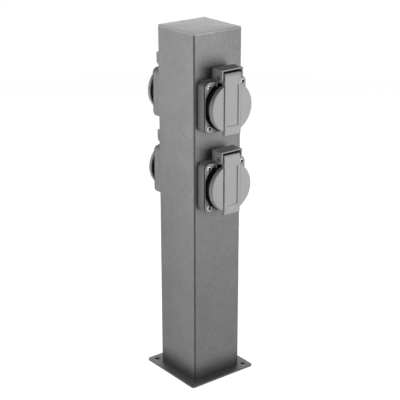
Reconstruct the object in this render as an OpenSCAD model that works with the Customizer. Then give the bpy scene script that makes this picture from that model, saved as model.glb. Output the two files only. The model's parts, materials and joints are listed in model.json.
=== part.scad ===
// Garden socket post: a square steel post on a bolted base plate with four
// splash-proof earthed sockets, two on the front face and two on the rear face.
// Millimetres, +Z up. Origin: centre of the base plate's underside.
// The front sockets face -Y and the rear sockets face +Y.

/* [Post] */
// Width of the square post
post_w = 60; // [56:0.5:80]
// Height of the whole post, from the ground to the top of the cap
post_h = 379; // [372:1:600]
// Wall of the post tube
post_wall = 1.5; // [1:0.1:1.8]
// Outer radius of the tube's vertical edges
post_edge_r = 1.6; // [1.6:0.1:3]
// Thickness of the welded top cap
cap_t = 2; // [1:0.1:4]

/* [Base plate] */
// How far the base plate stands out past the post on each side
plate_border = 11.5; // [11:0.5:30]
// Thickness of the base plate
plate_t = 2; // [1.5:0.1:5]
// Corner radius of the base plate
plate_corner_r = 3; // [1:0.5:6]
// Distance from the middle of a ground screw hole to the plate's edges
anchor_inset = 7.8; // [5:0.1:8.4]
// Diameter of a ground screw hole
anchor_d = 5; // [4:0.1:6]
// Diameter of the cable hole in the base plate
cable_hole_d = 20.4; // [14:0.2:30]

/* [Socket places] */
// Distance from the top of the post to the middle of an upper socket
upper_drop = 73; // [60:0.5:90]
// Distance between the middles of the upper and the lower sockets
socket_pitch = 83.8; // [76:0.2:110]
// How far the middles of the two rear sockets lie to the left of the post's middle, seen from the front
rear_aside = 2.2; // [0:0.1:2.4]

/* [Socket frame] */
// How far the square frame's edges stand out past the round lid
frame_lip = 0.8; // [0:0.1:1.2]
// Distance from the middle of a frame screw to the frame's edges
screw_margin = 5.2; // [5:0.1:5.4]
// Corner radius of the frame
frame_corner_r = 6; // [4:0.5:7]
// How far the frame's front face stands out from the post
frame_front = 12.2; // [11.4:0.1:14]
// Thickness of the rubber gasket behind the frame
gasket_t = 1; // [0.5:0.1:2]
// Depth and width of the step round the frame's front edge
frame_step = 0.8; // [0.4:0.1:1.2]
// Diameter of a frame screw's head
screw_head_d = 6; // [5:0.1:6.2]
// Diameter of a frame screw's thread
screw_d = 4; // [3:0.1:4.4]

/* [Insert] */
// Diameter of the well that the plug goes into
well_d = 39; // [38:0.1:39.4]
// Depth of that well
well_depth = 17.5; // [14:0.1:18]
// Thickness of the well's wall
well_wall = 1.9; // [1.4:0.1:2.2]
// Thickness of the black collar's wall in front of the frame
collar_wall = 4.1; // [3:0.1:4.3]
// How far the collar stands in front of the frame
collar_h = 4.6; // [3:0.1:4.8]
// Distance between the two pin holes
pin_spacing = 19; // [18:0.1:19.4]
// Diameter of a pin hole
pin_hole_d = 5.4; // [5:0.1:5.8]
// Thickness of the floor of the well
well_floor = 2.5; // [2:0.1:4]
// Depth of the contact chamber behind that floor
chamber_depth = 12.7; // [12:0.1:13.4]
// Thickness of the rear cover
cover_t = 2; // [1:0.1:3]

/* [Lid] */
// How far the round lid stands out past the collar, on the radius
lid_overlap = 1.8; // [1.6:0.1:2.2]
// Thickness of the lid's rim
lid_t = 5; // [4.6:0.1:5.6]
// Gap between the collar's front and the back of the lid
lid_gap = 1.2; // [0.8:0.1:1.6]
// How far the middle of the lid lies under the middle of the frame
lid_drop = 0.8; // [0:0.1:1.4]
// Radius of the lid's front edge
lid_edge_r = 1.4; // [0.8:0.1:2]
// Width of the strap across the lid
strap_w = 20.4; // [18:0.1:20.6]
// How far the strap stands out from the lid's face
strap_raise = 1; // [0.8:0.1:1.2]
// How far the end of the strap reaches past the lid's lower edge
strap_tail = 2.2; // [2:0.1:5]
// Depth of the sunk label panel in the strap
panel_depth = 1.4; // [0.6:0.1:1.8]

/* [Hinge] */
// How far the middle of the hinge pin lies behind the back of the lid
pin_behind = 0.7; // [0.6:0.1:0.9]
// Height of the hinge pin over the lid's upper edge
pin_over = 5.7; // [5.6:0.1:6]
// Diameter of the hinge pin
hinge_pin_d = 3; // [2:0.1:3.2]
// Running gap between the pin and the lid, on the radius
pin_run = 0.06; // [0.02:0.01:0.1]
// Thickness of the hood's two ears
ear_t = 1.7; // [1.2:0.1:1.9]
// Gap between an ear and the side of the strap
ear_gap = 1.4; // [0.8:0.1:1.5]
// Gap between the turning strap and the hood's top
hood_run = 0.4; // [0.3:0.1:1.5]
// Thickness of the hood's top
hood_t = 1.3; // [1:0.1:1.5]
// How far the hood's front edge lies behind the front of the strap
hood_inset = 1.3; // [1.3:0.1:4]
// Depth of the hood from its front edge to its back
hood_depth = 15; // [13.5:0.1:16]
// Wire diameter of the closing spring
spring_wire_d = 0.8; // [0.6:0.05:0.9]
// Diameter of the spring's curls, on the middle of the wire
spring_d = 5; // [4.8:0.1:5.4]

/* [Wiring] */
// Diameter of an insulated wire
wire_d = 2.8; // [2:0.1:3]
// Bend radius of a wire, on its middle
wire_bend = 5; // [4:0.1:5.2]
// Distance of the wires from the post's middle plane
wire_off = 4; // [3.4:0.1:4.2]
// Height of the terminal block's shelf over the ground
shelf_up = 130; // [100:1:150]
// Height of the terminal block
block_h = 18; // [14:0.5:22]

/* [Hidden] */
$fn = 64;
SOCKETS = ["upper_front", "lower_front", "upper_rear", "lower_rear"];
SOCKET_PARTS = [
    "gasket", "frame", "frame_screws", "insert", "back_cover", "contacts",
    "earth_clip", "terminal_screws", "lid", "lid_seal", "hinge_pin", "lid_spring"];
POST_PARTS = [
    "post_tube", "top_cap", "base_plate", "terminal_shelf", "terminal_block",
    "block_screws", "earth_stud", "bonding_wire", "wires_live", "wires_neutral", "wires_earth"];

plastic = "#a3a3a1";
steel_paint = "#6f6f6d";
black = "#1c1c1c";
bright = "#c9cacc";
brass = "#c2a04e";

half = post_w / 2;
upper_z = post_h - upper_drop;
lower_z = upper_z - socket_pitch;
inner_half = half - post_wall;
tube_top = post_h - cap_t;
fit = 0.2;
pin_fit = 0.02;
plate_half = half + plate_border;
anchor_off = plate_half - anchor_inset;

contact_hole_r = pin_hole_d / 2 + 0.5;
contact_r = contact_hole_r + 0.7;
port_r = wire_d / 2 + 0.1;
port_depth = 4;
port_end = 0.5;
port_pitch = 5;
clamp_w = 7;
clamp_end = 2.6;
clamp_wall = 2;
clamp_screw_r = 1.5;
clamp_head_r = 2.1;
clamp_head_t = 1.2;
clamp_screw_up = 2.4;
port_high = contact_r + clamp_head_r + 0.1;
contact_ports = [-port_high - port_pitch, -port_high];
earth_ports = [-3.5, 3.5];

body_r = well_d / 2 + well_wall;
collar_r = well_d / 2 + collar_wall;
collar_front = frame_front + collar_h;
well_bottom = collar_front - well_depth;
floor_back = well_bottom - well_floor;
chamber_back = floor_back - chamber_depth;
cover_back = chamber_back - cover_t;
chamber_wall = 1.8;
chamber_reach = [pin_spacing / 2 + clamp_w / 2 + clamp_head_t, port_high + port_pitch + clamp_head_r];
chamber_r = ceil(10 * (norm(chamber_reach) + fit)) / 10;
chamber_out = chamber_r + chamber_wall;
frame_hole_r = max(body_r, chamber_out) + fit;
post_hole_r = frame_hole_r + fit;
lid_r = collar_r + lid_overlap;
frame_half = lid_r + frame_lip;
screw_spacing = 2 * (frame_half - screw_margin);
face_rim = 1.3;
face_half = frame_half - face_rim;
face_r = sqrt(2) * screw_spacing / 2 - screw_head_d / 2 - 0.3;
face_t = 1.2;

lid_back = collar_front + lid_gap;
lid_front = lid_back + lid_t;
lid_rim = 1.6;
lid_pocket = 1.6;
lid_web = 2.4;
seal_gap = 0.3;
strap_front = lid_front + strap_raise;
groove_w = 0.9;
groove_depth = 0.9;
arm_step = 1.2;
arm_back = lid_back + arm_step;
tab_edge_r = 1.5;
strap_low = lid_r + lid_drop + strap_tail;
panel_border = 3.2;
panel_w = strap_w - 2 * panel_border;
panel_low = 9.4;
panel_high = 8.2;

pin_out = lid_back - pin_behind;
pin_up = lid_r - lid_drop + pin_over;
nose_r = strap_front - pin_out;
heel_r = 5.4;
nose_end = 38;
crown_r = 5.8;
crown = [52, 100];
heel_start = 120;
heel_end = 262;
slot_half = 4.4;
hood_half = strap_w / 2 + ear_gap + ear_t;
hood_up = pin_up + nose_r + hood_run + hood_t;
hood_front = strap_front - hood_inset;
hood_back = hood_front - hood_depth;
hood_sink = 0.6;
ear_low = frame_half - hood_sink;
ear_recess_r = hinge_pin_d / 2 + 0.8;
ear_recess = 0.7;
spring_curls = 5;
spring_pitch = 1.3;
spring_leg = 4;
slot_r = spring_leg + 0.9;

terminal_back = chamber_back + 0.4;
clip_w = 6;
clip_t = 0.8;
clip_slot = 0.3;
clip_bulge = 2.8;
clip_bend = 2;
clip_rise = 6.6;
clip_top = 1.8;
clip_strap = terminal_back + port_depth + clamp_wall;
clip_r = well_d / 2 + clip_t / 2;
rib_w = 5;
rib_in = 1.6;

block_d = 17;
block_foot = 6.4;
block_foot_d = 8;
block_foot_t = 3;
block_hole = block_foot_t + 1;
screw_hole = 2.6;
pole_pitch = pin_spacing / 2;
block_w = 3 * pole_pitch + 2;
block_screw_x = block_w / 2 + block_foot / 2;
block_screw_z = [5, block_h - 6];
shelf_t = 1.5;
shelf_d = 22;
shelf_ear = 14;
shelf_border = [4, 3.5];
stud_y = 12;
stud_below = 18;
stud_r = 2.5;
stud_boss = 4;
ring_t = 1;
ring_x = stud_boss - inner_half;
stud_z = shelf_up - stud_below;

// Square with round corners, out of straight and round pieces only
module round_square(half_side, r) {
    square([2 * half_side, 2 * (half_side - r)], center = true);
    square([2 * (half_side - r), 2 * half_side], center = true);
    for (x = [-1, 1])
        for (z = [-1, 1])
            translate([x * (half_side - r), z * (half_side - r)]) circle(r = r);
}

// The four corners of a square pattern
module at_corners(spacing) {
    for (x = [-1, 1])
        for (z = [-1, 1])
            translate([x * spacing / 2, 0, z * spacing / 2]) children();
}

// Outline in X and Z, drawn from one distance in front of the post to another
module out(from, to) {
    translate([0, -from, 0]) rotate([90, 0, 0]) linear_extrude(to - from) children();
}

// Outline in distance from the post and Z, drawn along X
module side(from, to) {
    translate([from, 0, 0]) rotate([90, 0, 90]) linear_extrude(to - from) mirror([1, 0]) children();
}

// Profile in radius and distance from the post, turned about the socket's axis
module turned(angle = 360) {
    rotate([90, 0, 0]) rotate_extrude(angle = angle, $fn = 96) children();
}

// Round bar along the socket's axis
module bar(from, to, r) {
    out(from, to) circle(r = r);
}

// Round bar along X
module cross_bar(from, to, r) {
    translate([from, 0, 0]) rotate([0, 90, 0]) cylinder(h = to - from, r = r);
}

// Points of an arc about a middle, as distance from the post and Z
function arc(mid, r, from, to, steps = 12) = [
    for (i = [0:steps])
        let (a = from + (to - from) * i / steps) [mid[0] + r * cos(a), mid[1] + r * sin(a)]];

// Puts a socket's piece on its face of the post
module at_socket(socket) {
    front = socket == "upper_front" || socket == "lower_front";
    high = socket == "upper_front" || socket == "upper_rear";
    rotate([0, 0, front ? 0 : 180])
        translate([front ? 0 : rear_aside, -half, high ? upper_z : lower_z]) children();
}

module post_tube() {
    color(steel_paint) difference() {
        translate([0, 0, plate_t]) linear_extrude(tube_top - plate_t) difference() {
            round_square(half, post_edge_r);
            square(2 * inner_half, center = true);
        }
        for (socket = SOCKETS)
            at_socket(socket) {
                bar(-post_wall - 1, 1, post_hole_r);
                at_corners(screw_spacing) bar(-post_wall - 1, 1, screw_d / 2 + pin_fit);
            }
    }
}

module top_cap() {
    color(steel_paint) translate([0, 0, tube_top]) linear_extrude(cap_t)
        round_square(half, post_edge_r);
}

module base_plate() {
    color(steel_paint) difference() {
        linear_extrude(plate_t) round_square(plate_half, plate_corner_r);
        for (x = [-1, 1])
            for (y = [-1, 1])
                translate([x * anchor_off, y * anchor_off, -1])
                    cylinder(h = plate_t + 2, d = anchor_d);
        translate([0, 0, -1]) cylinder(h = plate_t + 2, d = cable_hole_d);
    }
}

// Shelf welded between the tube's side walls, with a window for the supply wires
module terminal_shelf() {
    window = [block_w - 2 * shelf_border[0], block_d - 2 * shelf_border[1]];
    color(bright) translate([0, 0, shelf_up]) {
        difference() {
            translate([-inner_half, -shelf_d / 2, 0]) cube([2 * inner_half, shelf_d, shelf_t]);
            translate([-window[0] / 2, -window[1] / 2, -1])
                cube([window[0], window[1], shelf_t + 2]);
            for (x = [-1, 1])
                translate([x * block_screw_x, 0, -1])
                    cylinder(h = shelf_t + 2, r = clamp_screw_r + pin_fit);
        }
        for (x = [-inner_half, inner_half - shelf_t])
            translate([x, -shelf_d / 2, 0]) cube([shelf_t, shelf_d, shelf_ear]);
    }
}

// Where the wires of one pole stand: live left, earth middle, neutral right
function pole_x(pole) = (pole - 1) * pole_pitch;

// The wires to the rear sockets stand as far aside as those sockets
function port_x(pole, y) = pole_x(pole) - (y > 0 ? rear_aside : 0);

module terminal_block() {
    color("ivory") translate([0, 0, shelf_up + shelf_t]) difference() {
        union() {
            translate([-block_w / 2, -block_d / 2, 0]) cube([block_w, block_d, block_h]);
            translate([-block_w / 2 - block_foot, -block_foot_d / 2, 0])
                cube([block_w + 2 * block_foot, block_foot_d, block_foot_t]);
        }
        for (pole = [0:2]) {
            for (y = [-wire_off, wire_off])
                translate([port_x(pole, y), y, block_h - port_depth])
                    cylinder(h = port_depth + 1, r = port_r);
            translate([pole_x(pole), 0, -1]) cylinder(h = port_depth + 1, r = port_r + 0.4);
            for (z = block_screw_z)
                translate([pole_x(pole), -block_d / 2 - 1, z]) rotate([-90, 0, 0])
                    cylinder(h = screw_hole + 1, r = clamp_screw_r + 0.6);
        }
        for (x = [-1, 1])
            translate([x * block_screw_x, 0, -1])
                cylinder(h = block_hole + 1, r = clamp_screw_r + pin_fit);
    }
}

module slotted_screw(length, r, head_r, head_t) {
    difference() {
        union() {
            cylinder(h = head_t, r = head_r);
            translate([0, 0, -length]) cylinder(h = length, r = r);
        }
        translate([-head_r - 1, -0.35, head_t * 0.5]) cube([2 * head_r + 2, 0.7, head_t]);
    }
}

module block_screws() {
    color(brass) translate([0, 0, shelf_up + shelf_t]) {
        for (x = [-1, 1])
            translate([x * block_screw_x, 0, block_foot_t])
                slotted_screw(block_foot_t + shelf_t, clamp_screw_r, 2.6, 1.6);
        for (pole = [0:2])
            for (z = block_screw_z)
                translate([pole_x(pole), screw_hole - block_d / 2 - 0.1, z]) rotate([90, 0, 0])
                    cylinder(h = 1.8, r = clamp_screw_r + 0.5);
    }
}

// Stud welded to the tube's left wall, with the nut that holds the bonding wire's ring
module earth_stud() {
    nut_t = 4;
    color(bright) translate([0, stud_y, stud_z]) {
        cross_bar(-inner_half, ring_x, stud_r + 1.6);
        cross_bar(ring_x, ring_x + ring_t + nut_t + 4, stud_r);
        translate([ring_x + ring_t, 0, 0]) rotate([0, 90, 0]) cylinder(h = nut_t, r = 4.4, $fn = 6);
    }
}

// Ring on the stud, then a wire up to the terminal block's earth pole
module bonding_wire() {
    rise = 3;
    color("yellowgreen") {
        difference() {
            union() {
                translate([0, stud_y, stud_z]) cross_bar(ring_x, ring_x + ring_t, 5);
                translate([ring_x, 0, stud_z - wire_d / 2]) cube([ring_t, stud_y, wire_d]);
            }
            translate([0, stud_y, stud_z]) cross_bar(ring_x - 1, ring_x + ring_t + 1, stud_r + pin_fit);
        }
        translate([0, 0, stud_z]) cross_bar(ring_x, -wire_bend, wire_d / 2);
        translate([-wire_bend, 0, stud_z + wire_bend]) rotate([90, 0, 0]) rotate([0, 0, -90])
            rotate_extrude(angle = 90) translate([wire_bend, 0]) circle(r = wire_d / 2);
        translate([0, 0, stud_z + wire_bend])
            cylinder(h = shelf_up + shelf_t + rise - stud_z - wire_bend, r = wire_d / 2);
    }
}

// Quarter bend in the plane of Y and Z: it comes up along Z and leaves towards -Y
module bend_in() {
    translate([0, -wire_bend, 0]) rotate([90, 0, 90]) rotate_extrude(angle = 90)
        translate([wire_bend, 0]) circle(r = wire_d / 2);
}

// The wire that comes up from below into a terminal's port
module wire_into(from_z, port_z) {
    reach = half + terminal_back + port_depth - port_end;
    translate([0, 0, from_z]) cylinder(h = port_z - wire_bend - from_z, r = wire_d / 2);
    translate([0, 0, port_z - wire_bend]) bend_in();
    translate([0, -wire_bend, port_z]) rotate([90, 0, 0])
        cylinder(h = reach - wire_off - wire_bend, r = wire_d / 2);
}

// The wire that leaves one terminal's port and goes up into the next one's
module wire_between(from_z, port_z) {
    reach = half + terminal_back + port_depth - port_end;
    translate([0, -wire_bend, from_z]) rotate([90, 0, 0])
        cylinder(h = reach - wire_off - wire_bend, r = wire_d / 2);
    translate([0, 0, from_z + wire_bend]) mirror([0, 0, 1]) bend_in();
    wire_into(from_z + wire_bend, port_z);
}

// All the wires of one pole: block to lower socket to upper socket, on both faces
module pole_wires(pole, ports) {
    block_top = shelf_up + shelf_t + block_h;
    for (y = [-wire_off, wire_off])
        translate([port_x(pole, y), y, 0]) rotate([0, 0, y < 0 ? 0 : 180]) {
            wire_into(block_top - port_depth + port_end, lower_z + ports[0]);
            wire_between(lower_z + ports[1], upper_z + ports[0]);
        }
}

module wires_live() { color("saddlebrown") pole_wires(0, contact_ports); }
module wires_earth() { color("yellowgreen") pole_wires(1, earth_ports); }
module wires_neutral() { color("royalblue") pole_wires(2, contact_ports); }

module gasket() {
    color(black) out(0, gasket_t) difference() {
        round_square(frame_half - 0.3, frame_corner_r - 0.3);
        circle(r = post_hole_r);
        for (x = [-1, 1])
            for (z = [-1, 1])
                translate([x, z] * screw_spacing / 2) circle(r = screw_d / 2 + fit);
    }
}

// Outline of one ear of the hood, as distance from the post and Z
module ear_outline() {
    foot_z = sqrt(pow(collar_r, 2) - pow(hood_half - ear_t, 2)) + fit;
    foot_back = frame_front + fit;
    foot_front = foot_back + 1.6;
    polygon([
        [hood_back, hood_up], [hood_front, hood_up], [hood_front, ear_low + 3.2],
        [hood_front - 0.9, ear_low + 1.5], [hood_front - 3.2, ear_low + 0.3],
        [foot_front + 1.8, ear_low - 0.2], [foot_front, ear_low - 0.2], [foot_front, foot_z],
        [foot_back, foot_z], [foot_back, ear_low], [hood_back, ear_low]]);
}

module frame() {
    ear_in = hood_half - ear_t;
    color(plastic) difference() {
        union() {
            out(gasket_t, frame_front - frame_step) round_square(frame_half, frame_corner_r);
            out(frame_front - frame_step, frame_front)
                round_square(frame_half - frame_step / 2, frame_corner_r - frame_step / 2);
            side(-hood_half, -ear_in) ear_outline();
            side(ear_in, hood_half) ear_outline();
            out(hood_back, hood_front) translate([-hood_half, hood_up - hood_t])
                square([2 * hood_half, hood_t]);
            out(hood_back, hood_back + hood_t) translate([-hood_half, ear_low])
                square([2 * hood_half, hood_up - ear_low]);
        }
        bar(0, frame_front + 1, frame_hole_r);
        out(frame_front - face_t, frame_front + 0.1) face_outline(0.1);
        at_corners(screw_spacing) bar(0, frame_front + 1, screw_d / 2 + fit);
        translate([0, -pin_out, pin_up]) {
            cross_bar(-hood_half - 1, hood_half + 1, hinge_pin_d / 2 + pin_fit);
            for (x = [-hood_half - 1, hood_half - ear_recess])
                cross_bar(x, x + ear_recess + 1, ear_recess_r);
        }
    }
}

// Outline of the insert's flat face, which fills the recess in the frame's front
module face_outline(extra) {
    intersection() {
        circle(r = face_r + extra, $fn = 96);
        square(2 * (face_half + extra), center = true);
    }
}

module frame_screws() {
    head_t = 2;
    thread = 6;
    cross = [0.9, 3.6];
    color(bright) at_corners(screw_spacing) difference() {
        union() {
            rotate([90, 0, 0]) rotate_extrude() polygon(concat(
                [[0, frame_front], [screw_head_d / 2, frame_front], [screw_head_d / 2, frame_front + 0.7]],
                [for (a = [20:10:90]) [screw_head_d / 2 * cos(a), frame_front + head_t * (0.3 + 0.7 * sin(a))]]));
            bar(-thread, frame_front + 0.1, screw_d / 2);
        }
        for (turn = [0, 90])
            out(frame_front + 0.9, frame_front + head_t + 1) rotate(turn + 45) square(cross, center = true);
    }
}

module insert() {
    collar_edge = 0.6;
    slot_in = min(chamber_r, clip_r) - 1;
    slot_out = clip_r + clip_t / 2 + clip_slot;
    color(black) difference() {
        union() {
            turned() polygon([
                [0, floor_back], [chamber_r, floor_back], [chamber_r, chamber_back],
                [chamber_out, chamber_back], [body_r, frame_front], [collar_r, frame_front],
                [collar_r, collar_front - collar_edge], [collar_r - collar_edge, collar_front],
                [well_d / 2, collar_front], [well_d / 2, well_bottom], [0, well_bottom]]);
            out(frame_front - face_t, frame_front) difference() {
                face_outline(0);
                circle(r = body_r - 0.2);
            }
            for (x = [-1, 1])
                intersection() {
                    translate([x * (well_d / 2 + 1 - rib_in), 0, 0])
                        out(well_bottom - 0.5, collar_front - 1.5) square([2, rib_w], center = true);
                    bar(well_bottom - 0.5, collar_front, well_d / 2 + 0.3);
                }
        }
        for (x = [-1, 1])
            translate([x * pin_spacing / 2, 0, 0]) bar(floor_back - 1, well_bottom + 1, pin_hole_d / 2);
        for (z = [-1, 1]) {
            translate([0, 0, z * clip_r]) out(clip_strap - clip_t - fit, collar_front - 1.4)
                square([clip_w + 2 * clip_slot, clip_t + 2 * clip_slot], center = true);
            // The slot reaches in to the chamber when the well is the wider of the two
            out(clip_strap - clip_t - fit, floor_back) translate([0, z * (slot_in + slot_out) / 2])
                square([clip_w + 2 * clip_slot, slot_out - slot_in], center = true);
        }
    }
}

module back_cover() {
    color(black) out(cover_back, chamber_back) difference() {
        circle(r = chamber_out);
        for (x = [-1, 1])
            for (z = contact_ports)
                translate([x * pin_spacing / 2, z]) circle(r = port_r + 0.5);
        for (z = earth_ports)
            translate([0, z]) circle(r = port_r + 0.5);
    }
}

// Clamp block of one terminal: wires come in from the back, screws from one side
module clamp_block(ports, screw_side) {
    low = min(ports) - clamp_end;
    high = max(ports) + clamp_end;
    difference() {
        out(terminal_back, clip_strap) translate([-clamp_w / 2, low])
            square([clamp_w, high - low]);
        for (z = ports)
            translate([0, 0, z]) {
                bar(terminal_back - 1, terminal_back + port_depth, port_r);
                translate([0, -terminal_back - clamp_screw_up, 0])
                    rotate([0, 90 * screw_side, 0]) cylinder(h = clamp_w, r = clamp_screw_r + pin_fit);
            }
    }
}

module contacts() {
    neck = 0.5 - max(contact_ports) - clamp_end;
    color(brass) for (x = [-1, 1])
        translate([x * pin_spacing / 2, 0, 0]) {
            difference() {
                union() {
                    bar(terminal_back, floor_back, contact_r);
                    out(terminal_back, clip_strap) translate([-2.5, -neck])
                        square([5, neck]);
                }
                bar(terminal_back + 1, floor_back + 1, contact_hole_r);
                out(terminal_back + 2, floor_back + 1) translate([-0.5, 0]) square([1, contact_r + 1]);
            }
            clamp_block(contact_ports, x);
        }
}

// U-shaped strip with a bulge in each arm that grips the plug's earth bars
module earth_clip() {
    outer = clip_r + clip_t / 2;
    inner = clip_r - clip_t / 2;
    start = well_bottom + clip_bend;
    top = [start + clip_rise, start + clip_rise + clip_top];
    end = collar_front - clip_bend;
    color(brass) {
        for (z = [0, 1])
            mirror([0, 0, z]) side(-clip_w / 2, clip_w / 2) polygon([
                [clip_strap, 0], [clip_strap, inner - clip_bend], [clip_strap + clip_bend, inner],
                [start, inner], [top[0], inner - clip_bulge], [top[1], inner - clip_bulge],
                [end, inner], [end, outer], [top[1] + clip_t / 4, outer - clip_bulge],
                [top[0] - clip_t / 4, outer - clip_bulge], [start, outer],
                [clip_strap + clip_bend - clip_t / 2, outer],
                [clip_strap - clip_t, inner - clip_bend + clip_t / 2], [clip_strap - clip_t, 0]]);
        clamp_block(earth_ports, 1);
    }
}

module clamp_screws(ports, screw_side) {
    for (z = ports)
        translate([screw_side * clamp_w / 2, -terminal_back - clamp_screw_up, z])
            rotate([0, 90 * screw_side, 0])
                slotted_screw(clamp_w / 2 - port_r - 0.1, clamp_screw_r, clamp_head_r, clamp_head_t);
}

module terminal_screws() {
    color(bright) {
        for (x = [-1, 1])
            translate([x * pin_spacing / 2, 0, 0]) clamp_screws(contact_ports, x);
        clamp_screws(earth_ports, 1);
    }
}

// Side outline of the strap: end tab, front face, nose, lower crown over the pin, and back
module strap_outline() {
    pin = [pin_out, pin_up];
    arm_low = lid_r - lid_drop - lid_rim + fit;
    tab_high = -lid_r - lid_drop + lid_rim - fit;
    polygon(concat(
        arc([strap_front - tab_edge_r, -strap_low + tab_edge_r], tab_edge_r, -90, 0, 4),
        arc(pin, nose_r, 0, nose_end, 6),
        arc(pin, crown_r, crown[0], crown[1], 6),
        arc(pin, heel_r, heel_start, heel_end),
        [[arm_back, pin_up - heel_r - 1.6], [arm_back, arm_low],
         [lid_front - lid_web, arm_low], [lid_front - lid_web, tab_high],
         [arm_back, tab_high], [arm_back, -strap_low + 1], [arm_back + 1, -strap_low]]));
}

module lid() {
    color(plastic) difference() {
        union() {
            translate([0, 0, -lid_drop]) difference() {
                turned() polygon(concat(
                    [[0, lid_back + lid_pocket], [lid_r - lid_rim, lid_back + lid_pocket],
                     [lid_r - lid_rim, lid_back], [lid_r, lid_back]],
                    arc([lid_r - lid_edge_r, lid_front - lid_edge_r], lid_edge_r, 0, 90, 6),
                    [[0, lid_front]]));
                for (x = [-1, 1])
                    translate([x * (strap_w / 2 + groove_w / 2), 0, 0])
                        out(lid_front - groove_depth, lid_front + 1)
                            square([groove_w, 2 * lid_r], center = true);
            }
            side(-strap_w / 2, strap_w / 2) strap_outline();
        }
        translate([0, -pin_out, pin_up]) {
            cross_bar(-strap_w, strap_w, hinge_pin_d / 2 + pin_run);
            cross_bar(-slot_half, slot_half, slot_r);
            translate([-slot_half, 0, -heel_r - 2])
                cube([2 * slot_half, 2 * heel_r + 1.2, 2 * heel_r + 4]);
        }
        out(strap_front - panel_depth, strap_front + 1) translate([-panel_w / 2, panel_low - strap_low])
            square([panel_w, pin_up - panel_high - panel_low + strap_low]);
    }
}

module lid_seal() {
    lip = 0.8;
    outer = lid_r - lid_rim - fit;
    inner = well_d / 2 + 0.6;
    color(black) translate([0, 0, -lid_drop]) turned() polygon([
        [inner, lid_back + lid_pocket], [inner, collar_front + seal_gap + lip],
        [inner + lip, collar_front + seal_gap], [outer - 1, collar_front + seal_gap],
        [outer - 1, lid_back - 0.2], [outer, lid_back], [outer, lid_back + lid_pocket]]);
}

module hinge_pin() {
    end = hood_half - 0.1;
    dome = 0.4;
    color(bright) translate([0, -pin_out, pin_up]) rotate([0, 90, 0]) rotate_extrude() polygon([
        [0, -end], [hinge_pin_d / 2 - dome, -end], [hinge_pin_d / 2, -end + dome],
        [hinge_pin_d / 2, end - dome], [hinge_pin_d / 2 - dome, end], [0, end]]);
}

// Points on the middle of the spring's wire: a leg, the curls, and a leg
spring_steps = 8;
spring_last = spring_steps * spring_curls + spring_steps / 2;
spring_half = spring_pitch * spring_last / spring_steps / 2;
function spring_point(i) =
    let (a = -360 * i / spring_steps)
    [spring_pitch * i / spring_steps - spring_half, -cos(a) * spring_d / 2, sin(a) * spring_d / 2];
spring_path = concat(
    [[-spring_half, -spring_d / 2, -spring_leg], [-spring_half, -spring_d / 2, -spring_leg / 2]],
    [for (i = [0:spring_last]) spring_point(i)],
    [[spring_half, spring_d / 2, -spring_leg / 2], [spring_half, spring_d / 2, -spring_leg]]);

function unit(v) = v / norm(v);
function path_dir(path, i) =
    unit(path[min(i + 1, len(path) - 1)] - path[max(i - 1, 0)]);

// Tube of a given radius along a path, as one closed body. Every ring is drawn
// from the X axis, which the wire never follows.
module swept(path, r, sides = 6) {
    rings = len(path);
    points = [
        for (i = [0:rings - 1])
            let (dir = path_dir(path, i), a = unit(cross(dir, [1, 0, 0])), b = cross(dir, a))
            for (s = [0:sides - 1])
                path[i] + r * (cos(360 * s / sides) * a + sin(360 * s / sides) * b)];
    sides_faces = [
        for (i = [0:rings - 2])
            for (s = [0:sides - 1])
                let (t = (s + 1) % sides, p = i * sides, q = p + sides)
                for (f = [[p + s, q + s, q + t], [p + s, q + t, p + t]]) f];
    ends = concat(
        [for (s = [1:sides - 2]) [0, s, s + 1]],
        [for (s = [1:sides - 2]) let (q = (rings - 1) * sides) [q, q + s + 1, q + s]]);
    polyhedron(points, concat(sides_faces, ends));
}

module lid_spring() {
    color(bright) translate([0, -pin_out, pin_up]) swept(spring_path, spring_wire_d / 2);
}

post_tube();
top_cap();
base_plate();
terminal_shelf();
terminal_block();
block_screws();
earth_stud();
bonding_wire();
wires_live();
wires_neutral();
wires_earth();
for (socket = SOCKETS) {
    at_socket(socket) gasket();
    at_socket(socket) frame();
    at_socket(socket) frame_screws();
    at_socket(socket) insert();
    at_socket(socket) back_cover();
    at_socket(socket) contacts();
    at_socket(socket) earth_clip();
    at_socket(socket) terminal_screws();
    at_socket(socket) lid();
    at_socket(socket) lid_seal();
    at_socket(socket) hinge_pin();
    at_socket(socket) lid_spring();
}
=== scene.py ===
import json
import math

import bmesh
import bpy
import numpy as np
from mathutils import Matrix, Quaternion, Vector

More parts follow.
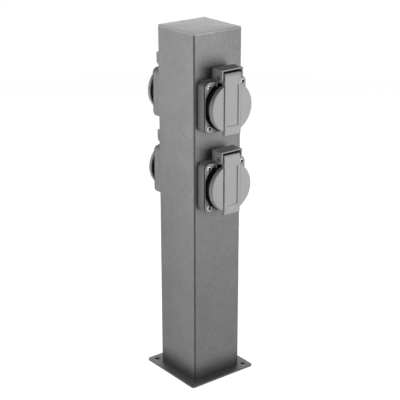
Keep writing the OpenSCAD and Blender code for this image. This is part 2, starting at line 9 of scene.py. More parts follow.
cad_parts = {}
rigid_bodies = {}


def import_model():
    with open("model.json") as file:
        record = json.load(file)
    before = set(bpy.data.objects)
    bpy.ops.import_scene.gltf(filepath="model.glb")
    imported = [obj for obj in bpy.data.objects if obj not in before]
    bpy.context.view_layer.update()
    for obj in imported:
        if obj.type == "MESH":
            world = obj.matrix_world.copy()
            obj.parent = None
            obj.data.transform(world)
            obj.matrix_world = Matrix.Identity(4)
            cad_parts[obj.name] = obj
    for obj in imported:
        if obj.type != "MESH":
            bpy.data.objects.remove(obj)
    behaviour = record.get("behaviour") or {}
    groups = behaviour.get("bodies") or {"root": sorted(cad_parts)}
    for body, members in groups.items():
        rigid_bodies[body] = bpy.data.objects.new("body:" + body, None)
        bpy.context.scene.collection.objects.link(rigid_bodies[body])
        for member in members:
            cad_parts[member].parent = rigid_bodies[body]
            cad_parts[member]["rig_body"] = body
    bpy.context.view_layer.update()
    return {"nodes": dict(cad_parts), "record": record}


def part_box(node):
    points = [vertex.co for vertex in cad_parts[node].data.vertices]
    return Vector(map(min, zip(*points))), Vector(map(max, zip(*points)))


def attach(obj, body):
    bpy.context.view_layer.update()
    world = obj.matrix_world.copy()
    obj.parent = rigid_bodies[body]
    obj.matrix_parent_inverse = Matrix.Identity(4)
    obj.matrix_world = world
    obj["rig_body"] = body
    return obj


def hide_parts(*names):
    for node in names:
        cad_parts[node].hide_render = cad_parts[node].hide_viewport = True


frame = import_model()
nodes = frame["nodes"]
mm = 0.001
postHalf = 30.0  # millimetres from the post's axis to its faces
sockets = ("upper_front", "lower_front", "upper_rear", "lower_rear")
up = Vector((0, 0, 1))
print("frame: %d CAD nodes loaded" % len(nodes))

# camera, solved from the photograph's own edges: metres, degrees and pixels, the sensor in millimetres
view = {
    "azimuth": -37.88,
    "elevation": 20.42,
    "roll": -0.07,
    "distance": 1.2233,
    "aside": 0.00039,
    "height": 0.1928,
    "focalPixels": 1160.6,
    "imagePixels": 400,
    "sensor": 36.0,
    "clip": (0.05, 60),
}


def facing(azimuth):
    # the level direction at an angle round the post, where 0 looks out of its front face
    turn = math.radians(azimuth)
    return Vector((math.sin(turn), -math.cos(turn), 0))


def placeCamera():
    # the camera stands on a sphere round the target: azimuth turns it, elevation lifts it
    azimuth = view["azimuth"]
    elevation = math.radians(view["elevation"])
    back = facing(azimuth) * math.cos(elevation) + up * math.sin(elevation)
    data = bpy.data.cameras.new("photoCamera")
    data.sensor_width = view["sensor"]
    data.lens = view["focalPixels"] / view["imagePixels"] * view["sensor"]
    data.clip_start, data.clip_end = view["clip"]
    camera = bpy.data.objects.new("photoCamera", data)
    bpy.context.scene.collection.objects.link(camera)
    target = facing(azimuth + 90) * view["aside"] + up * view["height"]
    camera.location = target + back * view["distance"]
    camera.rotation_mode = "QUATERNION"
    roll = Quaternion(up, math.radians(view["roll"]))
    camera.rotation_quaternion = (-back).to_track_quat("-Z", "Y") @ roll
    bpy.context.scene.camera = camera


placeCamera()
print("camera placed")

# lamps: degrees round the post, metres from its axis and over the floor, size in metres, power in watts
lampTarget = up * 0.24
lamps = {
    "left": {"azimuth": -115, "across": 0.55, "height": 0.14, "size": 0.26, "power": 0.54},
    "behind": {"azimuth": -163, "across": 0.6, "height": 0.25, "size": 0.35, "power": 1.3},
    "right": {"azimuth": 15, "across": 0.45, "height": 0.27, "size": 0.3, "power": 1.12},
    "rear": {"azimuth": 142, "across": 0.9, "height": 0.63, "size": 0.6, "power": 2.1},
}
backdrop = {
    "ambient": 0.02,
    "floorHalf": 14.0,
    "floorLevel": -0.00005,  # just under the base plate's underside
    "floorColour": 0.5,
    "glow": (0.9, 1.0),  # near the post and far from it
    "glowReach": (0.3, 1.5),
    "glowUnder": 0.05,
    "plateHalf": 0.0405,
    "plateStep": 0.0001,
}


def hangLamps():
    for name, lamp in lamps.items():
        data = bpy.data.lights.new(name + "Lamp", "AREA")
        data.shape = "SQUARE"
        data.size = lamp["size"]
        data.energy = lamp["power"]
        piece = bpy.data.objects.new(name + "Lamp", data)
        bpy.context.scene.collection.objects.link(piece)
        piece.location = facing(lamp["azimuth"]) * lamp["across"] + up * lamp["height"]
        piece.rotation_euler = (lampTarget - piece.location).to_track_quat("-Z", "Y").to_euler()
        piece.visible_camera = False


def addNode(tree, kind, **values):
    # a shader node with its sockets set by name, or linked where the value is another node's socket
    node = tree.nodes.new(kind)
    for key, value in values.items():
        name = key.replace("_", " ")
        if name not in node.inputs:
            setattr(node, key, value)
        elif isinstance(value, bpy.types.NodeSocket):
            tree.links.new(value, node.inputs[name])
        else:
            node.inputs[name].default_value = value
    return node


def combined(tree, operation, *values):
    # a math node, fed by other nodes' sockets or by plain numbers
    node = addNode(tree, "ShaderNodeMath", operation=operation)
    for socket, value in zip(node.inputs, values):
        if isinstance(value, bpy.types.NodeSocket):
            tree.links.new(value, socket)
        else:
            socket.default_value = value
    return node.outputs[0]


def product(tree, one, two):
    return combined(tree, "MULTIPLY", one, two)


def spread(tree, value, come, go, smooth=False):
    # carries a value from one range to another, held at both ends
    node = addNode(tree, "ShaderNodeMapRange", interpolation_type="SMOOTHSTEP" if smooth else "LINEAR")
    tree.links.new(value, node.inputs["Value"])
    for key, number in zip(("From Min", "From Max", "To Min", "To Max"), (*come, *go)):
        node.inputs[key].default_value = number
    return node.outputs[0]


def seenDirectly(tree):
    # 1 for rays from the camera, from a reflection or through glass, and 0 for rays that light the object
    path = tree.nodes.new("ShaderNodeLightPath")
    shown = combined(tree, "MAXIMUM", path.outputs["Is Camera Ray"], path.outputs["Is Glossy Ray"])
    return combined(tree, "MAXIMUM", shown, path.outputs["Is Transmission Ray"])


def apart(tree, place):
    # the distances from the post's two upright middle planes, sideways and front to back
    size = addNode(tree, "ShaderNodeVectorMath", operation="ABSOLUTE", Vector=place)
    parts = addNode(tree, "ShaderNodeSeparateXYZ", Vector=size.outputs[0])
    return parts.outputs[0], parts.outputs[1]


def paintWorld():
    world = bpy.data.worlds.new("studio")
    bpy.context.scene.world = world
    world.use_nodes = True
    tree = world.node_tree
    tree.nodes.clear()
    light = addNode(tree, "ShaderNodeBackground", Color=(1, 1, 1, 1), Strength=backdrop["ambient"])
    white = addNode(tree, "ShaderNodeBackground", Color=(1, 1, 1, 1))
    mixed = tree.nodes.new("ShaderNodeMixShader")
    output = tree.nodes.new("ShaderNodeOutputWorld")
    tree.links.new(seenDirectly(tree), mixed.inputs[0])
    tree.links.new(light.outputs[0], mixed.inputs[1])
    tree.links.new(white.outputs[0], mixed.inputs[2])
    tree.links.new(mixed.outputs[0], output.inputs[0])


def layFloor():
    half, level = backdrop["floorHalf"], backdrop["floorLevel"]
    corners = [(-half, -half, level), (half, -half, level), (half, half, level), (-half, half, level)]
    mesh = bpy.data.meshes.new("floor")
    mesh.from_pydata(corners, [], [(0, 1, 2, 3)])
    floor = bpy.data.objects.new("floor", mesh)
    bpy.context.scene.collection.objects.link(floor)
    material = bpy.data.materials.new("paleFloor")
    material.use_nodes = True
    tree = material.node_tree
    tree.nodes.clear()
    place = tree.nodes.new("ShaderNodeTexCoord").outputs["Object"]
    matt = addNode(tree, "ShaderNodeBsdfDiffuse", Color=(*[backdrop["floorColour"]] * 3, 1))
    # the glow reaches white far from the post, and is faint under the base plate, so its holes stay dark
    away = addNode(tree, "ShaderNodeVectorMath", operation="LENGTH", Vector=place).outputs["Value"]
    fade = spread(tree, away, backdrop["glowReach"], backdrop["glow"])
    edge = backdrop["plateHalf"]
    widest = combined(tree, "MAXIMUM", *apart(tree, place))
    outside = spread(tree, widest, (edge - backdrop["plateStep"], edge), (backdrop["glowUnder"], 1.0))
    strength = product(tree, product(tree, fade, outside), seenDirectly(tree))
    glow = addNode(tree, "ShaderNodeEmission", Strength=strength)
    added = tree.nodes.new("ShaderNodeAddShader")
    output = tree.nodes.new("ShaderNodeOutputMaterial")
    tree.links.new(matt.outputs[0], added.inputs[0])
    tree.links.new(glow.outputs[0], added.inputs[1])
    tree.links.new(added.outputs[0], output.inputs[0])
    floor.data.materials.append(material)


hangLamps()
paintWorld()
layFloor()
print("lamps and backdrop set")

# the three noises of a finish, how much wider the cloud is than the coarse grain, how much of the colour
# the grains and the cloud shift, and the range of noise that the roughness follows
noise = {
    "coarse": {"Detail": 3.0, "Roughness": 0.6},
    "fine": {"Detail": 2.0, "Roughness": 0.7},
    "cloud": {"Detail": 2.0, "Roughness": 0.5},
    "cloudWider": 24,
    "grainShare": 0.45,
    "cloudShare": 0.1,
    "roughFrom": (0.3, 0.7),
}


def ramp(tree, factor, low, high, stops):
    # a colour that runs from low to high as the factor goes between the two stops
    node = tree.nodes.new("ShaderNodeValToRGB")
    for element, colour, stop in zip(node.color_ramp.elements, (low, high), stops):
        element.position = stop
        element.color = (*colour, 1)
    tree.links.new(factor, node.inputs[0])
    return node.outputs[0]


def grained(name, dark, light, grain, fine, bump, rough, metallic=0.0, specular=0.5, contrast=(0.36, 0.64),
            shade=None):
    # finish with two sizes of grain and a faint cloud: all three shift the colour, the two grains lift the
    # surface, the fine one changes the roughness, and shade works out how dark each place is
    material = bpy.data.materials.new(name)
    material.use_nodes = True
    tree = material.node_tree
    tree.nodes.clear()
    shader = tree.nodes.new("ShaderNodeBsdfPrincipled")
    output = tree.nodes.new("ShaderNodeOutputMaterial")
    tree.links.new(shader.outputs[0], output.inputs[0])
    place = tree.nodes.new("ShaderNodeTexCoord").outputs["Object"]
    scales = {"coarse": grain, "fine": fine, "cloud": grain / noise["cloudWider"]}
    coarse, small, cloud = [
        addNode(tree, "ShaderNodeTexNoise", Vector=place, Scale=scale, **noise[kind]).outputs["Fac"]
        for kind, scale in scales.items()]
    both = combined(tree, "ADD", coarse, small)
    grains = product(tree, both, noise["grainShare"])
    mean = combined(tree, "MULTIPLY_ADD", cloud, noise["cloudShare"], grains)
    colour = ramp(tree, mean, dark, light, contrast)
    if shade:
        share = shade(tree, place)
        scaled = addNode(tree, "ShaderNodeVectorMath", operation="SCALE", Vector=colour, Scale=share)
        colour = scaled.outputs[0]
    tree.links.new(colour, shader.inputs["Base Color"])
    tree.links.new(spread(tree, small, noise["roughFrom"], rough), shader.inputs["Roughness"])
    lift = addNode(tree, "ShaderNodeBump", Height=both, Strength=bump[0], Distance=bump[1])
    tree.links.new(lift.outputs[0], shader.inputs["Normal"])
    shader.inputs["Metallic"].default_value = metallic
    shader.inputs["Specular IOR Level"].default_value = specular
    return material


# the post's coat: places in metres, and painted shade and light as shares of its colour; lean is what the
# front and the rear of the post's plain sides add to that share
coat = {
    "foot": (0.002, 0.026),
    "plate": (0.031, 0.0415),
    "footShade": 0.4,
    "plateTipShade": 0.62,
    "plateTop": (0.002, 0.003),
    "bend": (0.0283, 0.0288),
    "bendShade": 0.45,
    "rimLow": (0.3768, 0.3771),
    "rimHigh": (0.37888, 0.37898),
    "rimShade": 1.42,
    "side": (0.0292, 0.0297),
    "frontToBack": (-0.03, 0.03),
    "lean": (0.17, -0.08),
}


def coatShade(tree, place):
    # painted shade and light on the coat: the share of its colour at each place, where below one is darker
    # and above one is lighter
    deep, height = addNode(tree, "ShaderNodeSeparateXYZ", Vector=place).outputs[1:3]
    across = apart(tree, place)
    widest = combined(tree, "MAXIMUM", *across)
    narrowest = combined(tree, "MINIMUM", *across)
    overPlate = spread(tree, height, coat["plateTop"], (0.0, 1.0))
    # painted shade: darker low on the post, and on the plate close to it, where the two shade each other
    low = spread(tree, height, coat["foot"], (coat["footShade"], 1.0), smooth=True)
    near = spread(tree, widest, coat["plate"], (coat["footShade"], coat["plateTipShade"]))
    paintedFootShade = combined(tree, "MAXIMUM", low, near)
    # painted shade along the tube's four bends, up to the plate on its top, where the bends turn away from
    # the lamps
    bend = product(tree, spread(tree, narrowest, coat["bend"], (0.0, 1.0)), overPlate)
    bend = product(tree, bend, spread(tree, height, coat["rimLow"], (1.0, 0.0)))
    paintedBendShade = spread(tree, bend, (0.0, 1.0), (1.0, coat["bendShade"]))
    # painted highlight: the rim of the plate on the post's top is lighter, where it would catch the light
    # from above
    rimStart = spread(tree, height, coat["rimLow"], (1.0, coat["rimShade"]))
    rimEnd = spread(tree, height, coat["rimHigh"], (1.0, 1 / coat["rimShade"]))
    # painted light: on the post's two plain sides the coat is a little lighter towards the front and darker
    # towards the rear
    plain = product(tree, spread(tree, across[0], coat["side"], (0.0, 1.0)), overPlate)
    lean = spread(tree, deep, coat["frontToBack"], coat["lean"])
    leaned = combined(tree, "MULTIPLY_ADD", plain, lean, 1.0)
    share = product(tree, product(tree, paintedBendShade, product(tree, rimStart, rimEnd)), leaned)
    return product(tree, paintedFootShade, share)


finishes = {
    "coated_steel": grained(
        "anthracitePowderCoat", dark=(0.155, 0.155, 0.153), light=(0.245, 0.245, 0.241),
        grain=1150, fine=2600, bump=(0.45, 0.0001), rough=(0.42, 0.62), metallic=0.6,
        contrast=(0.42, 0.58), shade=coatShade),
    "grey_plastic": grained(
        "greyMoulding", dark=(0.49, 0.49, 0.485), light=(0.61, 0.61, 0.60), grain=1100, fine=3200,
        bump=(0.35, 0.00006), rough=(0.4, 0.55)),
    "black_plastic": grained(
        "blackMoulding", dark=(0.008, 0.008, 0.008), light=(0.014, 0.014, 0.014), grain=1400, fine=3600,
        bump=(0.3, 0.00005), rough=(0.45, 0.6), specular=0.15),
    "black_rubber": grained(
        "sealRubber", dark=(0.008, 0.008, 0.008), light=(0.015, 0.015, 0.015), grain=1200, fine=3000,
        bump=(0.4, 0.00006), rough=(0.7, 0.85), specular=0.15),
    "zinc_screw": grained(
        "platedScrew", dark=(0.42, 0.42, 0.42), light=(0.55, 0.55, 0.54), grain=1600, fine=5200,
        bump=(0.12, 0.00002), rough=(0.3, 0.45), metallic=1.0),
    "spring_steel": grained(
        "springWire", dark=(0.40, 0.40, 0.41), light=(0.54, 0.54, 0.54), grain=1500, fine=5000,
        bump=(0.15, 0.00002), rough=(0.25, 0.4), metallic=1.0),
    "nickel_clip": grained(
        "nickelStrip", dark=(0.58, 0.56, 0.52), light=(0.70, 0.68, 0.63), grain=1200, fine=4200,
        bump=(0.12, 0.00002), rough=(0.2, 0.34), metallic=1.0),
    "brass_contact": grained(
        "brassBar", dark=(0.62, 0.44, 0.17), light=(0.80, 0.62, 0.30), grain=1000, fine=4000,
        bump=(0.12, 0.00002), rough=(0.22, 0.38), metallic=1.0),
    "zinc_sheet": grained(
        "zincSheet", dark=(0.50, 0.51, 0.52), light=(0.68, 0.69, 0.70), grain=260, fine=2400,
        bump=(0.12, 0.00003), rough=(0.28, 0.5), metallic=1.0),
    "ivory_plastic": grained(
        "ivoryMoulding", dark=(0.68, 0.65, 0.54), light=(0.80, 0.77, 0.67), grain=1100, fine=3200,
        bump=(0.2, 0.00005), rough=(0.4, 0.5)),
    "brown_insulation": grained(
        "brownInsulation", dark=(0.13, 0.05, 0.02), light=(0.19, 0.08, 0.03), grain=900, fine=2800,
        bump=(0.2, 0.00004), rough=(0.35, 0.5)),
    "blue_insulation": grained(
        "blueInsulation", dark=(0.02, 0.10, 0.36), light=(0.04, 0.16, 0.48), grain=900, fine=2800,
        bump=(0.2, 0.00004), rough=(0.35, 0.5)),
    "green_insulation": grained(
        "greenYellowInsulation", dark=(0.10, 0.34, 0.03), light=(0.62, 0.60, 0.04), grain=320, fine=2800,
        bump=(0.2, 0.00004), rough=(0.35, 0.5)),
}
# finishes of single pieces, used in place of their slot's finish
ownFinishes = {
    # painted shade: the frames take a darker copy of the lids' grey moulding, for the shade on their sides
    "frame": grained(
        "darkerGreyMoulding", dark=(0.37, 0.37, 0.366), light=(0.47, 0.47, 0.463), grain=1100, fine=3200,
        bump=(0.35, 0.00006), rough=(0.4, 0.55)),
    "gasket": grained(
        "greyGasket", dark=(0.26, 0.26, 0.255), light=(0.33, 0.33, 0.325), grain=1200, fine=3000,
        bump=(0.4, 0.00006), rough=(0.7, 0.85), specular=0.2),
    # painted shade: the pin ends are near black, for the shade in the ear's recess round them
    "pin": grained(
        "darkPin", dark=(0.05, 0.05, 0.05), light=(0.08, 0.08, 0.08), grain=1600, fine=5200,
        bump=(0.12, 0.00002), rough=(0.4, 0.55), metallic=0.6),
    # painted shade: near black for the inside of the screws' crosses, where shade falls
    "screwRecess": grained(
        "darkRecess", dark=(0.02, 0.02, 0.02), light=(0.035, 0.035, 0.035), grain=1600, fine=5200,
        bump=(0.12, 0.00002), rough=(0.5, 0.7), metallic=0.5),
}

slotOf = {part["node"]: part["material_slot"] for part in frame["record"]["subparts"]}
for name, piece in nodes.items():
    piece.data.materials.clear()
    piece.data.materials.append(finishes[slotOf[name]])
print("finishes made: %d" % (len(finishes) + len(ownFinishes)))


def finishMesh(bm, name, angle):
    # merges doubles, turns the faces outwards and marks edges sharper than the angle
    bmesh.ops.remove_doubles(bm, verts=bm.verts, dist=1e-6)
    bmesh.ops.dissolve_degenerate(bm, dist=1e-7, edges=bm.edges)
    bmesh.ops.recalc_face_normals(bm, faces=bm.faces)
    mesh = bpy.data.meshes.new(name)
    bm.to_mesh(mesh)
    bm.free()
    mesh.shade_smooth()
    mesh.set_sharp_from_angle(angle=math.radians(angle))
    return mesh


def addPiece(mesh, name, body, slot, replaced=(), finish=None):
    piece = bpy.data.objects.new(name, mesh)
    bpy.context.scene.collection.objects.link(piece)
    piece.data.materials.append(finish or finishes[slot])
    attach(piece, body)
    if replaced:
        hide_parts(*replaced)
    return piece


def gridMesh(name, surfaces, angle):
    # each surface is an array of points[u, v], joined into quads that run on from the last v to the first;
    # a closed one does so in u too, and ends says that its first and last rows get a flat face each
    places = []
    faces = []
    start = 0
    for surface in surfaces:
        points = surface["points"]
        countU, countV = points.shape[:2]
        rows = countU if surface.get("closed") else countU - 1
        u, v = np.meshgrid(np.arange(rows), np.arange(countV), indexing="ij")
        nextU = (u + 1) % countU
        nextV = (v + 1) % countV
        quads = np.stack(
            [u * countV + v, nextU * countV + v, nextU * countV + nextV, u * countV + nextV], axis=-1)
        faces += (quads.reshape(-1, 4) + start).tolist()
        if surface.get("ends"):
            first = np.arange(countV) + start
            faces += [first[::-1].tolist(), (first + (countU - 1) * countV).tolist()]
        places.append(points.reshape(-1, 3))
        start += countU * countV
    mesh = bpy.data.meshes.new("grid")
    mesh.from_pydata(np.concatenate(places).tolist(), [], faces)
    bm = bmesh.new()
    bm.from_mesh(mesh)
    bpy.data.meshes.remove(mesh)
    return finishMesh(bm, name, angle)


softening = {"merge": 2e-6, "flat": 0.5, "sharp": 38, "segments": 2}  # merge in metres, angles in degrees


def softened(nodeName, width, finish=None):
    # a copy of a CAD mesh, merged, with its flat faces joined and its edges rounded by a bevel
    bm = bmesh.new()
    bm.from_mesh(nodes[nodeName].data)
    bmesh.ops.remove_doubles(bm, verts=bm.verts, dist=softening["merge"])
    flat = math.radians(softening["flat"])
    bmesh.ops.dissolve_limit(
        bm, angle_limit=flat, verts=bm.verts, edges=bm.edges, use_dissolve_boundaries=False)
    name = nodeName + "_piece"
    mesh = finishMesh(bm, name, softening["sharp"])
    piece = addPiece(mesh, name, nodes[nodeName]["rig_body"], slotOf[nodeName], (nodeName,), finish)
    bevel = piece.modifiers.new("roundEdges", "BEVEL")
    bevel.width = width * mm
    bevel.segments = softening["segments"]
    bevel.limit_method = "ANGLE"
    bevel.angle_limit = math.radians(softening["sharp"])
    bevel.use_clamp_overlap = True
    bevel.harden_normals = True


def socketPlace(name):
    # which way a socket faces and where its middle is, read from its own insert
    low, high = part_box(name + "_insert")
    side = -1 if low.y + high.y < 0 else 1
    return side, (low.x + high.x) / 2, (low.z + high.z) / 2


def atSocket(points, name):
    # points given as across, out from the post's face and up from the socket's middle, in millimetres
    side, aside, middle = socketPlace(name)
    across, out, height = points[..., 0], points[..., 1], points[..., 2]
    return np.stack(
        [aside - side * across * mm, side * (postHalf + out) * mm, middle + height * mm], axis=-1)


def blunted(corners, cut, steps):
    # a closed outline whose corners become parabolas that start one cut away from each corner, or less than
    # half of the way along a side that is short
    corners = np.asarray(corners, float)
    before = np.roll(corners, 1, axis=0) - corners
    after = np.roll(corners, -1, axis=0) - corners
    lengths = np.linalg.norm(before, axis=1), np.linalg.norm(after, axis=1)
    mostOfSide = 0.45
    reach = np.minimum(cut, mostOfSide * np.minimum(*lengths))[:, None]
    first = corners + before / lengths[0][:, None] * reach
    last = corners + after / lengths[1][:, None] * reach
    t = np.linspace(0, 1, steps)[None, :, None]
    curve = (1 - t) ** 2 * first[:, None] + 2 * t * (1 - t) * corners[:, None] + t ** 2 * last[:, None]
    return curve.reshape(-1, 2)


def turnedAbout(profile, count):
    # radius and distance out of a profile, carried round the axis that points out of the post
    angle = np.linspace(0, 2 * np.pi, count, endpoint=False)[None, :]
    radius, out = profile[:, 0:1], profile[:, 1:2]
    return np.stack([radius * np.cos(angle), out + 0 * angle, radius * np.sin(angle)], axis=-1)


def squareRing(half, radius, count):
    # outline of a square with round corners: four quarter circles joined by straight sides
    radius = np.asarray(radius, float)[..., None, None]
    half = np.asarray(half, float)[..., None, None]
    corner = np.arange(4)[:, None] * np.pi / 2
    angle = corner + np.linspace(0, np.pi / 2, count)[None, :]
    middle = half - radius
    x = middle * np.sign(np.cos(corner + np.pi / 4)) + radius * np.cos(angle)
    y = middle * np.sign(np.sin(corner + np.pi / 4)) + radius * np.sin(angle)
    return x.reshape(*x.shape[:-2], -1), y.reshape(*y.shape[:-2], -1)


def arc(middle, radius, start, stop, count):
    angle = np.radians(np.linspace(start, stop, count))
    return np.stack([middle[0] + radius * np.cos(angle), middle[1] + radius * np.sin(angle)], axis=-1)


# how far the edges of the sheets and mouldings are rounded, in millimetres
edges = {
    "base_plate": 0.3,
    "terminal_shelf": 0.25,
    "terminal_block": 0.3,
    "block_screws": 0.12,
    "earth_stud": 0.2,
}
socketEdges = {
    "gasket": 0.25,
    "frame": 0.2,
    "insert": 0.2,
    "back_cover": 0.25,
    "contacts": 0.15,
    "terminal_screws": 0.12,
}


def softenEdges():
    for name, width in edges.items():
        softened(name, width)
    for socket in sockets:
        for part, width in socketEdges.items():
            softened(socket + "_" + part, width, ownFinishes.get(part))


softenEdges()
print("mouldings and sheets softened")

cap = {"cornerRadius": 1.6, "edgeRadius": 0.4, "edgeSteps": 8, "cornerSteps": 10, "sharp": 30}


def makeTopCap():
    # square rings that run out from the middle of the underside, up the side, round the top edge by a
    # quarter circle and back to the middle of the top
    low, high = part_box("top_cap")
    half, bottom, top = high.x / mm, low.z / mm, high.z / mm
    turn = np.linspace(0, np.pi / 2, cap["edgeSteps"])
    edge = cap["edgeRadius"]
    inset = np.concatenate([[half, 0.0], edge * (1 - np.cos(turn)), [half]])
    level = np.concatenate([[bottom, bottom], top - edge * (1 - np.sin(turn)), [top]])
    x, y = squareRing(half - inset, np.maximum(cap["cornerRadius"] - inset, 0), cap["cornerSteps"])
    points = np.stack([x, y, level[:, None] + 0 * x], axis=-1) * mm
    mesh = gridMesh("topCap", [{"points": points}], cap["sharp"])
    addPiece(mesh, "topCap", "post", "coated_steel", ("top_cap",))


makeTopCap()
print("top cap made")

# millimetres in the socket's own frame: out from the post's face, up from the socket's middle
disc = {
    "radius": 25.4,
    "drop": 0.8,
    "back": 18.0,
    "front": 23.0,
    "edge": 1.4,
    "pocket": 1.6,
    "rim": 1.6,
    "near": 11.1,
    "groove": 0.9,
    "wallEdge": 0.25,
    "backInset": 0.02,
    "backBlunt": (0, 0.3, 0.25, 0.3, 0.5, 0),
    "faceStart": 0.6,
    "faceMiddle": 6.0,
    "steps": 160,
    "bluntSteps": 5,
    "edgeSteps": 12,
    "sweepSteps": 97,
    "chordSteps": 40,
    "sharp": 32,
}
# an arc is its radius, the angles where it starts and stops and its number of points; all but the tab's go
# round the hinge pin
strap = {
    "half": 10.2,
    "low": -28.4,
    "front": 24.0,
    "noseStart": 26.0,
    "tab": (1.5, -90, 0, 9),
    "tabHigh": -24.8,
    "tabCut": 1.0,
    "sideEdge": 0.35,
    "sideTurn": (0, 22, 45, 68, 90),
    "armBack": 19.2,
    "armLow": 23.2,
    "armGap": 1.6,
    "webBack": 20.6,
    "nose": (6.7, 0, 38, 12),
    "crown": (5.8, 52, 100, 9),
    "heel": (5.4, 120, 262, 28),
    "slot": (4.9, 90, -90, 28),
    "slotHalf": 4.4,
    "slotInner": 2.0,
}
panel = {"half": 7.0, "low": -19.0, "high": 22.1, "depth": 1.4, "inside": 2.0, "steps": 12}
pin = {
    "radius": 1.5,
    "end": 13.2,
    "dome": 0.45,
    "domePower": 0.6,
    "domeSteps": 7,
    "out": 17.3,
    "up": 30.3,
    "steps": 40,
    "sharp": 40,
}
pinMiddle = (pin["out"], pin["up"])
# the panel's wall: places across its edge, and the share of the panel's depth at each
wallPlace = np.array([-0.3, -0.1, 0.0, 0.05, 0.15, 0.4])
wallShare = np.array([0.0, 0.06, 0.3, 0.75, 0.95, 1.0])


def discSurfaces():
    # the round lid without its face: a profile with blunt corners, turned round the lid's axis
    radius, back, front = disc["radius"] - disc["backInset"], disc["back"], disc["front"]
    floor, step = back + disc["pocket"], front - disc["groove"]
    inner = radius - disc["rim"]
    profile = blunted(
        [(0, floor), (inner, floor), (inner, back), (radius, back), (radius, step), (0, step)],
        np.array(disc["backBlunt"]), disc["bluntSteps"])
    surfaces = [turnedAbout(profile, disc["steps"])]
    # each half of the face: rings of an arc and the straight side beside the strap, which climb from inside
    # the disc and go round the rim by a quarter circle; the straight side has a smaller quarter circle
    edge, wall = disc["edge"], disc["wallEdge"]
    turn = np.linspace(0, np.pi / 2, disc["edgeSteps"])
    level = np.concatenate([[back + disc["faceStart"]], front - edge + edge * np.sin(turn)])
    inset = np.concatenate([[0], edge * (1 - np.cos(turn))])
    lift = np.clip((level - front + wall) / wall, 0, 1)
    arcRadius = (disc["radius"] - inset)[:, None]
    near = (disc["near"] + wall * (1 - np.sqrt(1 - lift ** 2)))[:, None]
    opening = np.arccos(near / arcRadius)
    sweep = np.linspace(-1, 1, disc["sweepSteps"])[None, :] * opening
    chord = np.linspace(1, -1, disc["chordSteps"])[None, 1:-1] * arcRadius * np.sin(opening)
    across = np.concatenate([arcRadius * np.cos(sweep), near + 0 * chord], axis=1)
    height = np.concatenate([arcRadius * np.sin(sweep), chord], axis=1)
    rings = np.stack([across, level[:, None] + 0 * across, height], axis=-1)
    # the first and last rings shrink to a point in the middle of the half
    middle = np.array([disc["near"] + disc["faceMiddle"], 0, 0])
    first, last = (
        np.broadcast_to(middle + (0, value, 0), rings[:1].shape) for value in (level[0], level[-1]))
    rings = np.concatenate([first, rings, last])
    surfaces += [rings, rings * (-1, 1, 1)]
    return [{"points": surface - (0, 0, disc["drop"])} for surface in surfaces]


def strapOutlines():
    # the strap's side outline, as out and up: round the tab, up the front past the panel's two edges, over
    # the pin by three arcs and down the back; the second one has the spring's slot in place of the heel,
    # and the share says how far the panel sinks each point
    low, high, inside = panel["low"], panel["high"], panel["inside"]
    frontUp = np.concatenate([
        low + wallPlace,
        np.linspace(low + inside, high - inside, panel["steps"]),
        (high - wallPlace)[::-1],
        [strap["noseStart"]]])
    frontShare = np.concatenate([wallShare, np.ones(panel["steps"]), wallShare[::-1], [0]])
    front = np.stack([strap["front"] + 0 * frontUp, frontUp], axis=-1)
    end, edge, cut = strap["low"], strap["tab"][0], strap["tabCut"]
    tab = arc((strap["front"] - edge, end + edge), *strap["tab"])
    nose, crown, heel, slot = (arc(pinMiddle, *strap[key]) for key in ("nose", "crown", "heel", "slot"))
    armBack, webBack = strap["armBack"], strap["webBack"]
    back = np.array([
        (armBack, pin["up"] - strap["heel"][0] - strap["armGap"]),
        (armBack, strap["armLow"]),
        (webBack, strap["armLow"]),
        (webBack, strap["tabHigh"]),
        (armBack, strap["tabHigh"]),
        (armBack, end + cut),
        (armBack + cut, end)])
    whole = np.concatenate([tab, front, nose, crown, heel, back])
    radius, crownStart, _, count = strap["crown"]
    shortCrown = arc(pinMiddle, radius, crownStart, strap["slot"][1], count)
    slotted = np.concatenate([tab, front, nose, shortCrown, slot, back])
    share = np.zeros(len(whole))
    share[len(tab):len(tab) + len(frontShare)] = frontShare
    return whole, slotted, share


def strapSurface():
    # the outline carried across the lid: its two side edges are rounded by drawing the outline in, the
    # slotted one is taken in the middle, round the spring, and the panel sinks the front by a share that is
    # the product of a step across and a step along
    whole, slotted, share = strapOutlines()
    along = np.roll(whole, -1, axis=0) - np.roll(whole, 1, axis=0)
    inward = np.stack([-along[:, 1], along[:, 0]], axis=-1) / np.linalg.norm(along, axis=1, keepdims=True)
    edge = strap["sideEdge"]
    turn = np.radians(strap["sideTurn"])
    slot = [strap["slotHalf"], strap["slotHalf"], strap["slotInner"]]
    place = np.concatenate([strap["half"] - edge + edge * np.cos(turn), panel["half"] - wallPlace, slot])
    rounded, flat = len(turn), len(wallPlace) + len(slot)
    inset = np.concatenate([edge * (1 - np.sin(turn)), np.zeros(flat)])
    sink = np.concatenate([np.zeros(rounded), wallShare, np.ones(len(slot))])
    # the last two rows have the slot, and the other half of the strap is the same in reverse
    cutOut = np.arange(len(place)) >= len(place) - 2
    place = np.concatenate([place, -place[::-1]])
    inset, sink, cutOut = (np.concatenate([row, row[::-1]]) for row in (inset, sink, cutOut))
    drawnIn = whole[None] + inset[:, None, None] * inward[None]
    outline = np.where(cutOut[:, None, None], slotted[None], drawnIn)
    out = outline[..., 0] - panel["depth"] * sink[:, None] * share[None, :]
    return {"points": np.stack([place[:, None] + 0 * out, out, outline[..., 1]], axis=-1), "ends": True}


def makeLids():
    surfaces = discSurfaces() + [strapSurface()]
    for name in sockets:
        placed = [{**surface, "points": atSocket(surface["points"], name)} for surface in surfaces]
        mesh = gridMesh(name + "_lid_moulding", placed, disc["sharp"])
        addPiece(mesh, name + "_lid_moulding", name + "_lid", "grey_plastic", (name + "_lid",))


makeLids()
print("lids made")

